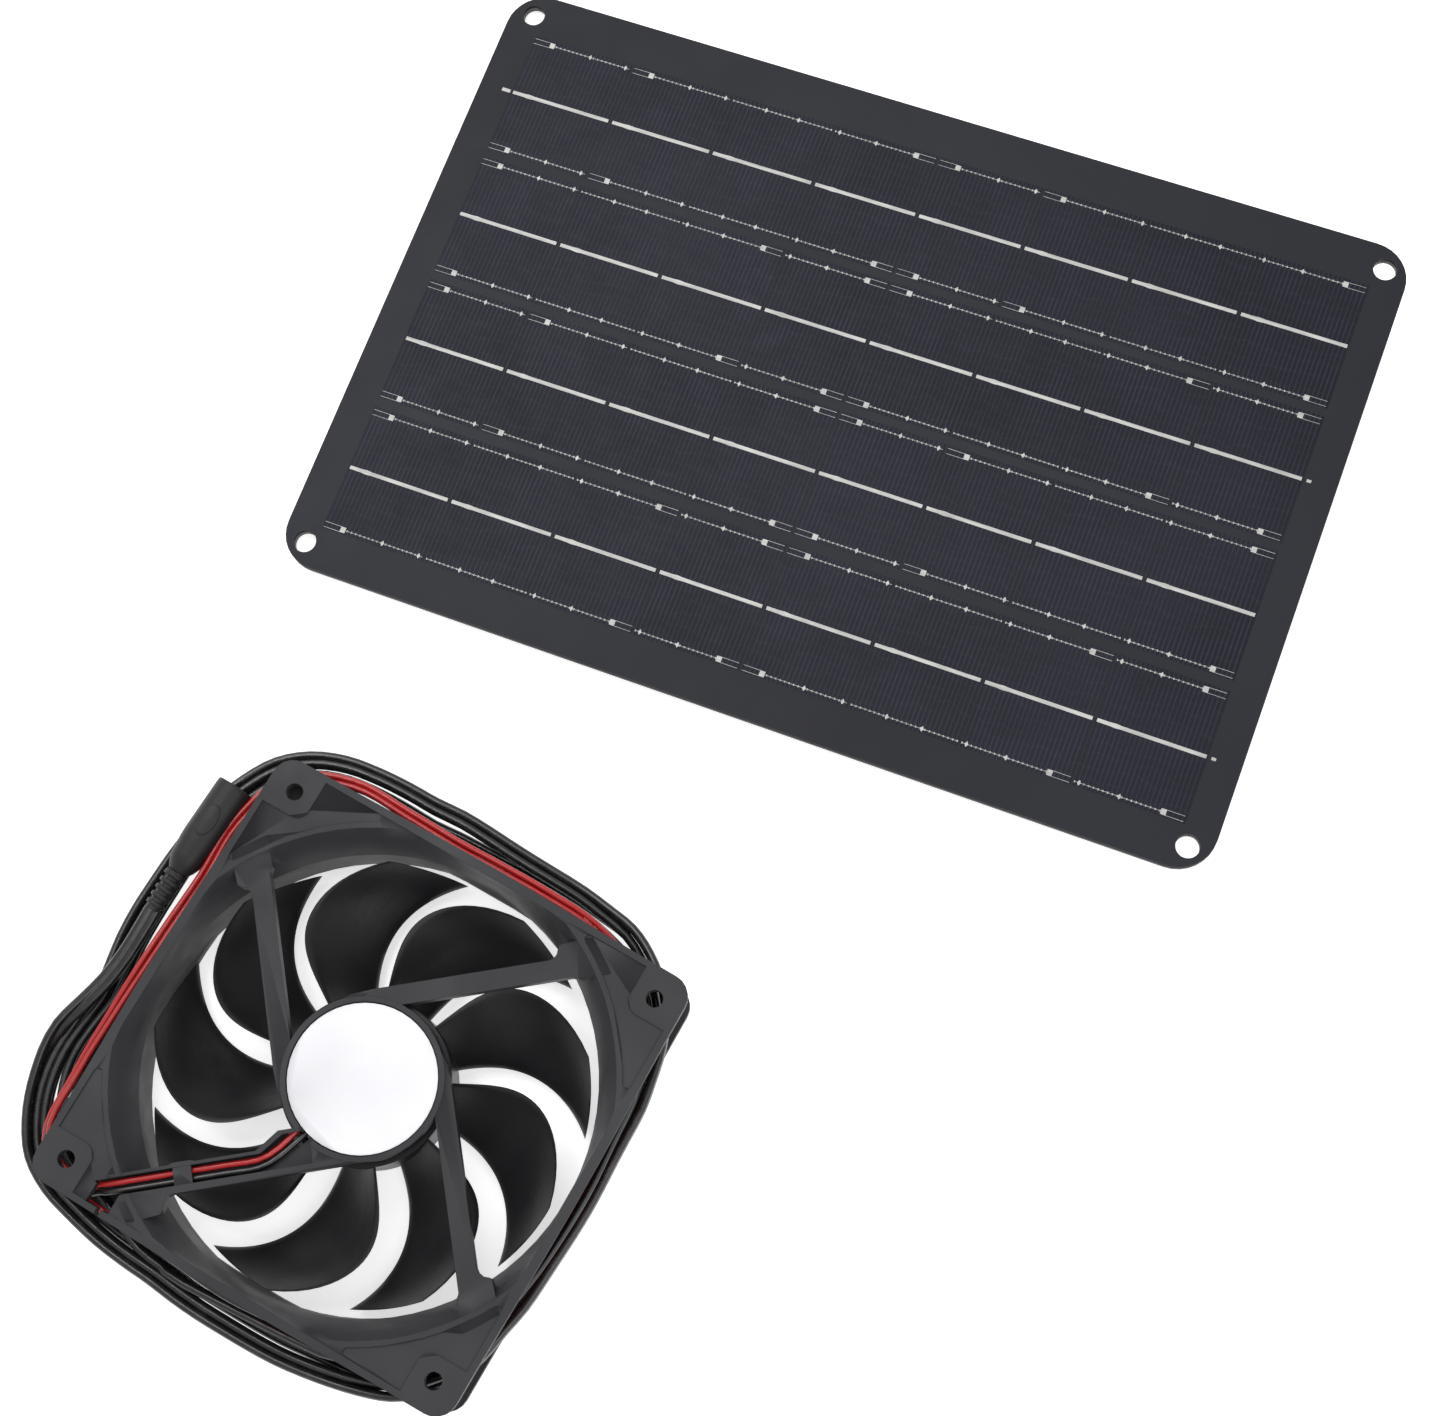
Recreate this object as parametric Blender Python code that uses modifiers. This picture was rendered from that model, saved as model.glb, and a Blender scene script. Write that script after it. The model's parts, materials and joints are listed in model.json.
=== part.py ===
"""Solar attic fan kit: a 120 mm brushless fan with its lead wound round the frame, and its panel.

Lengths in the tables and helper calls are millimetres, turned into metres by MM when a mesh or
curve is made.  The fan and the panel are each built in their own frame, on an empty that sets
where they lie on the ground (z = 0).
"""
import math

import bmesh
import bpy
from mathutils import Matrix, Vector

MM = 0.001
GAP = 0.3                     # clearance between pieces that touch

# Where the two units lie
FAN_CENTRE = (-49.0, -115.1)
FAN_TURN = math.radians(-9.0)
PANEL_CENTRE = (0.1, 93.9)

# Fan frame
FAN_HALF = 60.0               # half the 120 mm side
FAN_DEPTH = 25.0
SIDE_BULGE = 0.8              # the barrel of the duct shows as a bulge in the middle of each side
FLANGE = 3.6
CORNER_RADIUS = 5.5
SCREW_PITCH = 105.0
SCREW_RADIUS = 2.2
BOSS_EDGE = 46.8              # where the corner's square boss begins, from the axis
DUCT_RADIUS = 57.5
FLARE_RADIUS = 62.5
FLAT_EDGE = 58.4              # the opening's four flat sides
POCKET_DEPTH = 0.5
POCKET_RADIUS = 63.9
STRUT_OFFSET = 18.9           # the struts run past the hub, not through its centre
STRUT_WIDTH = 5.0
STRUT_BOTTOM = 20.3
STRUT_TOP = 24.7
STRUT_TURNS = (39.0, 129.0, 309.0)
WIRE_STRUT_TURN = 219.0
HUB_RADIUS = 20.3
HUB_BOTTOM = 21.4
LABEL_RADIUS = 18.6
CHANNEL_FLOOR = 21.25

# Motor
SHAFT_RADIUS = 1.5
TUBE_RADIUS = 5.0
BORE_RADIUS = 4.3
BEARING_RADIUS = 4.0
BEARING_LOW = 6.8
CORE_RADIUS = 15.9
CORE_BOTTOM, CORE_TOP = 6.6, 12.4
POLES = 4
NECK_HALF = 3.0
BOBBIN_THICK = 0.6

# Impeller
BLADES = 9
ROTOR_RADIUS = 21.4
ROTOR_BOTTOM, ROTOR_TOP = 1.5, 19.4
TIP_RADIUS = 55.4
BLADE_TOP, BLADE_BOTTOM = 18.4, 4.2

# Lead and its socket
WIRE_RADIUS = 0.8
CABLE_RADIUS = 1.7
LOOP_POWER = 3.5              # squareness of the turns round the frame
JACK_HEIGHT = 19.4
SPLICE_RADIUS = 63.4           # the joint lies across a corner, between the duct and the turns

# Panel
PANEL_X, PANEL_Y, PANEL_THICK = 258.0, 178.0, 3.0
PANEL_CORNER = 10.5
PANEL_HOLE_X, PANEL_HOLE_Y, PANEL_HOLE_RADIUS = 245.0, 165.0, 3.1
ROW_PITCH, ROW_HEIGHT, ROW_LENGTH = 39.0, 37.4, 238.6
BACKING_THICK = 1.8
BOX_INNER_EDGE = 60.0
BOX_HEIGHT = 16.0
BOX_X, BOX_Y = 50.0, 60.0
PANEL_TILT = math.atan(BOX_HEIGHT / (PANEL_X / 2 + BOX_INNER_EDGE))


# ---------------------------------------------------------------- scene and helpers

for leftover in list(bpy.data.objects):
    bpy.data.objects.remove(leftover, do_unlink=True)

PARTS = bpy.data.collections.new("solar_attic_fan")
CUTTERS = bpy.data.collections.new("cutters")
bpy.context.scene.collection.children.link(PARTS)
bpy.context.scene.collection.children.link(CUTTERS)


def empty(name, location, rotation):
    holder = bpy.data.objects.new(name, None)
    holder.location = Vector(location) * MM
    holder.rotation_euler = rotation
    PARTS.objects.link(holder)
    return holder


FAN = empty("fan_axis", (*FAN_CENTRE, 0), (0, 0, FAN_TURN))
PANEL = empty("panel_frame",
              (*PANEL_CENTRE, PANEL_X / 2 * math.sin(PANEL_TILT)), (0, -PANEL_TILT, 0))


def paint(name, colour, roughness, metallic=0.0):
    material = bpy.data.materials.new(name)
    material.use_nodes = True
    shader = material.node_tree.nodes["Principled BSDF"]
    shader.inputs["Base Color"].default_value = (*colour, 1)
    shader.inputs["Roughness"].default_value = roughness
    shader.inputs["Metallic"].default_value = metallic
    return material


def finish(name, mesh, parent, material, smooth=False):
    piece = bpy.data.objects.new(name, mesh)
    piece.parent = parent
    if material is None:
        CUTTERS.objects.link(piece)
        piece.hide_render = True
        piece.display_type = "WIRE"
    else:
        PARTS.objects.link(piece)
        mesh.materials.append(material)
    if smooth:
        mesh.shade_smooth()
        mesh.set_sharp_from_angle(angle=math.radians(35))
    return piece


def plate(name, loops, low, high, parent, material=None):
    """A flat outline with its holes, from height low to height high."""
    curve = bpy.data.curves.new(name + "_outline", "CURVE")
    curve.dimensions = "2D"
    curve.fill_mode = "BOTH"
    curve.extrude = (high - low) / 2 * MM
    for loop in loops:
        spline = curve.splines.new("POLY")
        spline.points.add(len(loop) - 1)
        for point, (x, y) in zip(spline.points, loop):
            point.co = (x * MM, y * MM, 0, 1)
        spline.use_cyclic_u = True
    outline = bpy.data.objects.new(name + "_outline", curve)
    bpy.context.scene.collection.objects.link(outline)
    graph = bpy.context.evaluated_depsgraph_get()
    mesh = bpy.data.meshes.new_from_object(outline.evaluated_get(graph))
    bpy.data.objects.remove(outline, do_unlink=True)
    bm = bmesh.new()
    bm.from_mesh(mesh)
    bmesh.ops.remove_doubles(bm, verts=bm.verts, dist=1e-6)
    bmesh.ops.translate(bm, verts=bm.verts, vec=(0, 0, (low + high) / 2 * MM))
    bm.to_mesh(mesh)
    bm.free()
    return finish(name, mesh, parent, material)


def turned(name, profile, steps, parent, material=None, at=(0, 0), ring=True):
    """A turned piece: the profile's (radius, height) points run down its outer side."""
    mesh = bpy.data.meshes.new(name)
    points = [(radius * MM, 0, height * MM) for radius, height in profile]
    edges = [(i, i + 1) for i in range(len(points) - 1)]
    if ring:
        edges.append((len(points) - 1, 0))
    mesh.from_pydata(points, edges, [])
    piece = finish(name, mesh, parent, material)
    piece.location = (at[0] * MM, at[1] * MM, 0)
    screw = piece.modifiers.new("turn", "SCREW")
    screw.steps = screw.render_steps = steps
    screw.use_merge_vertices = True
    screw.merge_threshold = 1e-6
    screw.use_smooth_shade = True
    return piece


def ring(name, outer, inner, low, high, steps, parent, material=None, at=(0, 0)):
    return turned(name, [(outer, high), (outer, low), (inner, low), (inner, high)],
                  steps, parent, material, at)


def disc(name, radius, low, high, steps, parent, material=None, at=(0, 0)):
    return turned(name, [(0, high), (radius, high), (radius, low), (0, low)],
                  steps, parent, material, at, ring=False)


def block(name, low, high, parent, material=None, turn=0.0, bevel=0.0):
    """A box between two corners, turned about the parent's Z axis by turn degrees."""
    bm = bmesh.new()
    bmesh.ops.create_cube(bm, size=1)
    size = Vector(high) - Vector(low)
    centre = (Vector(high) + Vector(low)) / 2
    bmesh.ops.scale(bm, vec=size * MM, verts=bm.verts)
    bmesh.ops.translate(bm, vec=centre * MM, verts=bm.verts)
    if turn:
        bmesh.ops.rotate(bm, matrix=Matrix.Rotation(math.radians(turn), 3, "Z"), verts=bm.verts)
    mesh = bpy.data.meshes.new(name)
    bm.to_mesh(mesh)
    bm.free()
    piece = finish(name, mesh, parent, material)
    if bevel:
        rounded = piece.modifiers.new("edges", "BEVEL")
        rounded.width = bevel * MM
        rounded.segments = 2
    return piece


def loft(name, rings, parent, material=None, smooth=False):
    """A closed skin through sections that hold the same number of points each."""
    bm = bmesh.new()
    rows = [[bm.verts.new(Vector(point) * MM) for point in row] for row in rings]
    count = len(rows[0])
    for low, high in zip(rows, rows[1:]):
        for i in range(count):
            j = (i + 1) % count
            bm.faces.new((low[i], low[j], high[j], high[i]))
    bm.faces.new(rows[0][::-1])
    bm.faces.new(rows[-1])
    bmesh.ops.recalc_face_normals(bm, faces=bm.faces)
    mesh = bpy.data.meshes.new(name)
    bm.to_mesh(mesh)
    bm.free()
    return finish(name, mesh, parent, material, smooth)


def wire(name, points, radius, parent, material, resolution=2):
    curve = bpy.data.curves.new(name, "CURVE")
    curve.dimensions = "3D"
    curve.bevel_depth = radius * MM
    curve.bevel_resolution = resolution
    curve.use_fill_caps = True
    spline = curve.splines.new("POLY")
    spline.points.add(len(points) - 1)
    for point, place in zip(spline.points, points):
        point.co = (*(Vector(place) * MM), 1)
    curve.materials.append(material)
    tube = bpy.data.objects.new(name, curve)
    tube.parent = parent
    PARTS.objects.link(tube)
    return tube


def combine(piece, operation, *others):
    for other in others:
        cut = piece.modifiers.new(other.name, "BOOLEAN")
        cut.operation = operation
        cut.solver = "EXACT"
        cut.object = other
    return piece


def arc(centre, radius, start, end, steps):
    """Points along an arc, angles in degrees, both ends included."""
    turns = [math.radians(start + (end - start) * i / steps) for i in range(steps + 1)]
    return [(centre[0] + radius * math.cos(a), centre[1] + radius * math.sin(a)) for a in turns]


def circle(centre, radius, count):
    return arc(centre, radius, 0, 360, count)[:-1]


def turn_points(points, degrees):
    c, s = math.cos(math.radians(degrees)), math.sin(math.radians(degrees))
    return [(c * x - s * y, s * x + c * y) for x, y in points]


def rounded_box(half_x, half_y, radius, steps=5):
    """The outline of a box with rounded corners."""
    outline = []
    for sign_x, sign_y, start in ((1, 1, 0), (-1, 1, 90), (-1, -1, 180), (1, -1, 270)):
        centre = (sign_x * (half_x - radius), sign_y * (half_y - radius))
        outline += arc(centre, radius, start, start + 90, steps)
    return outline


def smooth_route(points, spacing):
    """Points about spacing apart on a smooth curve through the given ones."""
    points = [Vector(p) for p in points]
    padded = [2 * points[0] - points[1]] + points + [2 * points[-1] - points[-2]]
    route = []
    for before, start, end, after in zip(padded, padded[1:], padded[2:], padded[3:]):
        steps = max(1, round((end - start).length / spacing))
        for i in range(steps):
            t = i / steps
            route.append(0.5 * (2 * start + (end - before) * t
                                + (2 * before - 5 * start + 4 * end - after) * t * t
                                + (3 * start - before - 3 * end + after) * t ** 3))
    return route + [points[-1]]


def loop_point(degrees, left, right, top, bottom):
    """A point of a soft square loop round the fan, given how far out each side stands."""
    c, s = math.cos(math.radians(degrees)), math.sin(math.radians(degrees))
    across = abs(c) / (right if c > 0 else left)
    along = abs(s) / (top if s > 0 else bottom)
    radius = (across ** LOOP_POWER + along ** LOOP_POWER) ** (-1 / LOOP_POWER)
    return radius * c, radius * s


def loop(left, right, top, bottom, bow=0.0, count=48):
    """A whole loop; bow is how far it swings out on the left, below the socket."""
    points = [loop_point(360 * i / count, left, right, top, bottom) for i in range(count)]
    return [(x - bow * math.exp(-((y + 30) / 16) ** 2) if x < 0 else x, y) for x, y in points]


# ---------------------------------------------------------------- fan frame

def side_outline():
    """One side of the flange, seen along +X: a shallow bulge that fades out at both corners."""
    straight = FAN_HALF - CORNER_RADIUS
    side = []
    for i in range(1, 10):
        y = straight * (i / 5 - 1)
        side.append((FAN_HALF + SIDE_BULGE * math.cos(math.pi / 2 * y / straight) ** 2, y))
    corner = arc((straight, straight), CORNER_RADIUS, 0, 90, 5)
    return side + corner


def flange_outline():
    outline = []
    for quarter in range(4):
        outline += turn_points(side_outline(), 90 * quarter)
    return outline


def screw_holes():
    half = SCREW_PITCH / 2
    return [circle((x * half, y * half), SCREW_RADIUS, 16) for x in (-1, 1) for y in (-1, 1)]


def clipped_ring(radius, flat, height, count=72):
    """A circle whose four sides are cut flat."""
    points = []
    for i in range(count):
        angle = 2 * math.pi * (i + 0.5) / count
        c, s = math.cos(angle), math.sin(angle)
        reach = min(radius, flat / max(abs(c), abs(s)))
        points.append((reach * c, reach * s, height))
    return points


def strut_outline(turn, points):
    """Outline points given as (along, across) a strut that leaves at the angle turn."""
    c, s = math.cos(math.radians(turn)), math.sin(math.radians(turn))
    return [(c * along - s * across, s * along + c * across) for along, across in points]


def pocket_outline():
    """The shallow recess in a corner of the flange, round the screw's square boss."""
    fillet, round_off = 3.6, 1.2
    inner = BOSS_EDGE + fillet
    boss = arc((inner, inner), fillet, 270, 180, 6)
    across = FLAT_EDGE - round_off
    along = math.sqrt((POCKET_RADIUS + round_off) ** 2 - across ** 2)
    lean = math.degrees(math.atan2(along, across))
    far_tip = arc((along, across), round_off, 90, 270 - lean, 5)
    near_tip = arc((across, along), round_off, 180 + lean, 360, 5)
    rib = arc((0, 0), POCKET_RADIUS, 90 - lean, lean, 8)[1:-1]
    return [(FLAT_EDGE, BOSS_EDGE)] + boss + [(BOSS_EDGE, FLAT_EDGE)] + far_tip + rib + near_tip


def fan_frame():
    plastic = paint("frame_plastic", (0.045, 0.046, 0.050), 0.5)
    frame = plate("fan_frame", [flange_outline()] + screw_holes(), 0, FAN_DEPTH, FAN, plastic)
    waist = block("waist", (-70, -70, FLANGE), (70, 70, FAN_DEPTH - FLANGE), FAN)
    wall = loft("duct_wall", [clipped_ring(radius, 59.4, height) for radius, height in
                              ((59.6, 1.2), (59.6, 15.0), (60.8, 18.5), (63.4, 21.6), (66.0, 24.2))],
                FAN)
    combine(waist, "DIFFERENCE", wall)
    air = loft("duct_air", [clipped_ring(*section) for section in
                            ((DUCT_RADIUS, 56.4, -1), (DUCT_RADIUS, 56.4, 2.6),
                             (DUCT_RADIUS, 57.6, 4.0), (DUCT_RADIUS, 57.6, 14.0),
                             (58.6, 58.2, 18.0), (60.4, FLAT_EDGE, 22.0),
                             (FLARE_RADIUS, FLAT_EDGE, FAN_DEPTH),
                             (FLARE_RADIUS + 1, FLAT_EDGE, FAN_DEPTH + 1))], FAN)
    combine(frame, "DIFFERENCE", waist, air)
    for quarter in range(4):
        recess = plate(f"pocket_{quarter}", [turn_points(pocket_outline(), 90 * quarter)],
                       FAN_DEPTH - POCKET_DEPTH, FAN_DEPTH + 1, FAN)
        combine(frame, "DIFFERENCE", recess)
    combine(frame, "UNION", fan_spider())
    combine(frame, "DIFFERENCE", *wire_openings())
    combine(frame, "UNION", wire_clip())
    return frame


def fan_spider():
    """The motor's base and the four struts that carry it, trimmed to end inside the duct's wall."""
    inner, outer = STRUT_OFFSET - STRUT_WIDTH / 2, STRUT_OFFSET + STRUT_WIDTH / 2
    spider = ring("spider", HUB_RADIUS, TUBE_RADIUS + GAP, HUB_BOTTOM, 24.85, 48, FAN)
    plain = [(4, inner), (54.6, inner), (56, inner - 0.7), (66, inner - 0.7), (66, outer + 4.2),
             (57, outer + 3.8), (52.6, outer + 3.4), (52.0, outer + 2.4), (51.6, outer + 1.2),
             (50.6, outer + 0.3), (49.4, outer), (6, outer), (0, outer - 0.4), (-8, HUB_RADIUS - 1.8)]
    for turn in STRUT_TURNS:
        strut = plate(f"strut_{turn:.0f}", [strut_outline(turn, plain)],
                      STRUT_BOTTOM, STRUT_TOP, FAN)
        combine(spider, "UNION", strut)
    channel = [(4, 12), (10, 9.2), (22, 9.2), (28, 13.2), (43, 13.2), (44, 12.8), (48.5, 12.8),
               (49.5, 13.2), (66, 13.2), (66, 25.4), (57, 25.0), (52.6, 24.6), (51.8, 23.0),
               (50.4, 20.6), (49.0, 20.2), (2, 20.1)]
    wide = plate("wire_strut", [strut_outline(WIRE_STRUT_TURN, channel)],
                 STRUT_BOTTOM, STRUT_TOP, FAN)
    combine(spider, "UNION", wide)
    reach = turned("spider_reach", [(0, 25.5), (66.2, 25.5), (66.0, 24.4), (63.0, 21.4),
                                    (61.2, 20.0), (61.2, 19), (0, 19)], 72, FAN, ring=False)
    combine(spider, "INTERSECT", reach)
    recess = disc("label_recess", LABEL_RADIUS + GAP, 23.7, 26, 48, FAN)
    combine(spider, "DIFFERENCE", recess)
    return spider


def wire_openings():
    """The channel along one strut, its mouth under the hub's rim and its way out by the edge."""
    trough = plate("wire_trough", [strut_outline(WIRE_STRUT_TURN, [
        (14.5, 10.2), (21.0, 10.2), (27.0, 14.0), (67.6, 14.0), (64.2, 18.4), (14.5, 18.4)])],
        CHANNEL_FLOOR, 26, FAN)
    mouth = plate("wire_mouth", [strut_outline(250, [(13.0, -2.6), (22.5, -2.6), (22.5, 2.6),
                                                     (13.0, 2.6)])], 20.2, 23.4, FAN)
    drop = plate("wire_drop", [[(-43.0, -58.5), (-36.6, -58.5), (-36.6, -53.3), (-43.0, -53.3)]],
                 CHANNEL_FLOOR - 0.3, 26, FAN)
    slit = plate("edge_slit", [[(-39.6, -62.5), (-38.4, -62.5), (-38.4, -57.5), (-39.6, -57.5)]],
                 CHANNEL_FLOOR - 0.3, 26, FAN)
    return trough, mouth, drop, slit


def wire_clip():
    return plate("wire_clip", [strut_outline(WIRE_STRUT_TURN, [
        (44.0, 13.6), (48.5, 13.6), (48.5, 18.9), (44.0, 18.9)])], 23.9, 24.6, FAN)


# ---------------------------------------------------------------- motor

def motor():
    steel = (0.55, 0.56, 0.58)
    disc("fan_label", LABEL_RADIUS, 24.0, 24.4, 48, FAN, paint("label_paper", (0.85, 0.85, 0.87), 0.5))
    ring("bearing_tube", TUBE_RADIUS, BORE_RADIUS, 5.2, 23.3, 32, FAN,
         paint("tube_brass", (0.70, 0.52, 0.22), 0.35, 1.0))
    for name, low in (("bearing_upper", 17.8), ("bearing_lower", BEARING_LOW)):
        ring(name, BEARING_RADIUS, SHAFT_RADIUS + GAP, low, low + 4.0, 24, FAN,
             paint(name + "_steel", steel, 0.3, 1.0))
    stator()
    board_holes = [circle((0, 0), TUBE_RADIUS + GAP, 24)]
    plate("circuit_board", [circle((0, 0), 15.4, 40)] + board_holes, 16.6, 17.8, FAN,
          paint("board_green", (0.03, 0.16, 0.07), 0.45))
    block("driver_chip", (9.5, -2.0, 14.8), (13.5, 2.0, 16.3), FAN,
          paint("chip_epoxy", (0.02, 0.02, 0.02), 0.4), turn=45)


def pole_outline(shoe):
    """The stator's outline with its poles; without the shoes it is the bobbin's."""
    shoe_half = 33.0
    outline = []
    for pole in range(POLES):
        axis = 360 / POLES * pole
        root = [(8.4, -NECK_HALF), (13.2, -NECK_HALF)]
        tip = arc((0, 0), CORE_RADIUS, -shoe_half, shoe_half, 8) if shoe else []
        corners = [(13.2, -7.6)] if shoe else []
        back = [(13.2, 7.6)] if shoe else []
        ends = [(13.2, NECK_HALF), (8.4, NECK_HALF)]
        outline += turn_points(root + corners + tip + back + ends, axis + 45)
    return outline


def stator():
    hole = circle((0, 0), TUBE_RADIUS + GAP, 24)
    plate("stator_core", [pole_outline(True), hole], CORE_BOTTOM, CORE_TOP, FAN,
          paint("core_steel", (0.42, 0.42, 0.44), 0.45, 1.0))
    nylon = paint("bobbin_nylon", (0.72, 0.70, 0.62), 0.5)
    reach = GAP + BOBBIN_THICK
    plate("bobbin_upper", [pole_outline(False), hole], CORE_TOP + GAP, CORE_TOP + reach, FAN, nylon)
    plate("bobbin_lower", [pole_outline(False), hole], CORE_BOTTOM - reach, CORE_BOTTOM - GAP, FAN,
          nylon)
    copper = paint("winding_copper", (0.72, 0.33, 0.14), 0.35, 1.0)
    for pole in range(POLES):
        winding(f"winding_{pole + 1}", 360 / POLES * pole + 45, copper)


def winding(name, axis, copper):
    """A coil of enamelled wire: a flat ring that stands round one pole's neck."""
    wide = NECK_HALF + GAP
    tall = (CORE_TOP - CORE_BOTTOM) / 2 + BOBBIN_THICK + 2 * GAP
    loops = [rounded_box(wide + 1.3, tall + 0.9, 1.0, 3), rounded_box(wide, tall, 0.2, 1)]
    coil = plate(name, loops, 9.3, 12.8, FAN, copper)
    stand = Matrix.Rotation(math.radians(axis), 4, "Z") @ Matrix.Rotation(math.radians(90), 4, "Y")
    turn_flat = Matrix.Rotation(math.radians(90), 4, "Z")
    coil.matrix_local = (Matrix.Translation((0, 0, (CORE_TOP + CORE_BOTTOM) / 2 * MM))
                         @ stand @ turn_flat)
    return coil


# ---------------------------------------------------------------- rotor

def blade_angles(reach):
    """Where a blade's upper and lower edges stand, in degrees, at a share of the way out."""
    return 148 - 32 * reach ** 3.6, 119.5 - 24 * reach ** 2.1


def blade(index):
    """One swept blade: arched sections lofted from inside the hub out to the tip."""
    sections = []
    chord_steps = 6
    for radius in (20.6, 27.0, 34.0, 40.5, 45.5, 49.5, 53.0, TIP_RADIUS):
        reach = max(0.0, (radius - ROTOR_RADIUS) / (TIP_RADIUS - ROTOR_RADIUS))
        upper, lower = blade_angles(reach)
        tip = max(0.0, reach - 0.8) / 0.2
        top, bottom = BLADE_TOP - 1.4 * tip ** 2, BLADE_BOTTOM + 1.8 * tip ** 2
        half_thick = 0.8 - 0.25 * reach
        front, back = [], []
        for i in range(chord_steps + 1):
            share = i / chord_steps
            angle = math.radians(upper + (lower - upper) * share + 360 / BLADES * index)
            height = top + (bottom - top) * share - 1.4 * math.sin(math.pi * share)
            edge = 0.55 if i in (0, chord_steps) else 1.0
            front.append((radius * math.cos(angle), radius * math.sin(angle),
                          height + half_thick * edge))
            back.append((radius * math.cos(angle), radius * math.sin(angle),
                         height - half_thick * edge))
        sections.append(front + back[::-1])
    return loft(f"blade_{index}", sections, FAN)


def rotor():
    black = paint("impeller_plastic", (0.012, 0.012, 0.014), 0.45)
    hub = turned("impeller", [
        (0, ROTOR_BOTTOM + 1.7), (20.1, ROTOR_BOTTOM + 1.7), (20.1, ROTOR_TOP),
        (ROTOR_RADIUS, ROTOR_TOP), (ROTOR_RADIUS, 2.9), (ROTOR_RADIUS - 0.5, 1.9),
        (ROTOR_RADIUS - 1.5, ROTOR_BOTTOM), (0, ROTOR_BOTTOM)], 54, FAN, black, ring=False)
    for index in range(BLADES):
        combine(hub, "UNION", blade(index))
    floor = ROTOR_BOTTOM + 1.7 + GAP
    metal = (0.50, 0.51, 0.53)
    ring("rotor_bush", 3.4, SHAFT_RADIUS + GAP, floor, floor + 1.1, 24, FAN,
         paint("bush_brass", (0.72, 0.55, 0.25), 0.35, 1.0))
    turned("rotor_yoke", [(19.8, 18.6), (19.8, floor), (15.0, floor), (15.0, floor + 0.8),
                          (18.9, floor + 0.8), (18.9, 18.6)], 48, FAN,
           paint("yoke_steel", metal, 0.4, 1.0))
    ring("magnet_ring", 18.6, 16.4, 4.9, 16.0, 48, FAN, paint("magnet_ferrite", (0.05, 0.05, 0.055), 0.6))
    turned("shaft", [(0, 23.4), (1.2, 23.4), (SHAFT_RADIUS, 23.1), (SHAFT_RADIUS, 22.8),
                     (1.0, 22.8), (1.0, 22.0), (SHAFT_RADIUS, 22.0),
                     (SHAFT_RADIUS, floor), (0, floor)], 24, FAN,
           paint("shaft_steel", (0.62, 0.63, 0.65), 0.2, 1.0), ring=False)
    retaining_ring(22.4)
    preload_spring(floor + 1.1)


def retaining_ring(height):
    """A split washer that sits in the shaft's groove above the upper bearing."""
    outer, inner = arc((0, 0), 2.8, 25, 335, 20), arc((0, 0), 1.3, 335, 25, 14)
    plate("retaining_ring", [outer + inner], height - 0.2, height + 0.2, FAN,
          paint("spring_steel", (0.45, 0.45, 0.47), 0.3, 1.0))


def preload_spring(floor):
    """The small coil spring that loads the lower bearing."""
    turns, per_turn = 1.6, 12
    low, high = floor + GAP + 0.2, BEARING_LOW - GAP - 0.2
    points = []
    for i in range(int(turns * per_turn) + 1):
        angle = 2 * math.pi * i / per_turn
        share = i / (turns * per_turn)
        points.append((2.5 * math.cos(angle), 2.5 * math.sin(angle), low + (high - low) * share))
    wire("preload_spring", points, 0.2, FAN, paint("preload_steel", (0.6, 0.6, 0.62), 0.25, 1.0))


# ---------------------------------------------------------------- lead and socket

def strut_point(along, across, height):
    x, y = strut_outline(WIRE_STRUT_TURN, [(along, across)])[0]
    return x, y, height


def leads():
    """The two wires from the board, along their channel, to where they join the turns."""
    for name, colour, side in (("lead_red", (0.60, 0.02, 0.02), -1),
                               ("lead_black", (0.015, 0.015, 0.016), 1)):
        x, y = strut_outline(250, [(15.0, side * 1.1)])[0]
        start = (x, y, 18.2)
        rise = (*strut_outline(250, [(15.6, side * 1.1)])[0], 20.6)
        mouth = (*strut_outline(250, [(18.2, side * 1.1)])[0], 22.0)
        lane = 16.2 + side * 1.0
        route = [start, rise, mouth, strut_point(22.5, lane - 2.1, 22.4),
                 strut_point(28, lane, 22.5), strut_point(36, lane, 22.5),
                 strut_point(44, lane, 22.5), strut_point(54, lane, 22.5),
                 strut_point(62, lane, 22.5), strut_point(67, lane, 22.3)]
        wire(name, smooth_route(route, 2 * WIRE_RADIUS * 2), WIRE_RADIUS, FAN,
             paint(name + "_pvc", colour, 0.3))


def turns():
    """The outer shapes of the wound wires and of the wound cable, and the joint between them."""
    plate("wire_coil", [loop(62.8, 63.2, 63.2, 63.2, 3.5), loop(60.3, 60.3, 60.3, 60.3)],
          18.0, 21.1, FAN, paint("coil_red", (0.45, 0.02, 0.02), 0.35))
    plate("cable_coil", [loop(75.5, 64.0, 71.6, 70.5), loop(66.0, 59.9, 62.8, 61.6)],
          4.2, 13.8, FAN, paint("coil_black", (0.015, 0.015, 0.016), 0.3))
    splice = turned("splice_sleeve", [(0, 13), (1.3, 13), (1.6, 12.4), (1.6, -12.4), (1.3, -13),
                                      (0, -13)], 16, FAN,
                    paint("sleeve_black", (0.02, 0.02, 0.02), 0.5), ring=False)
    reach = SPLICE_RADIUS / math.sqrt(2)
    splice.matrix_local = (Matrix.Translation(Vector((reach, -reach, 15.9)) * MM)
                           @ Matrix.Rotation(math.radians(45), 4, "Z")
                           @ Matrix.Rotation(math.radians(90), 4, "Y"))


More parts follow.
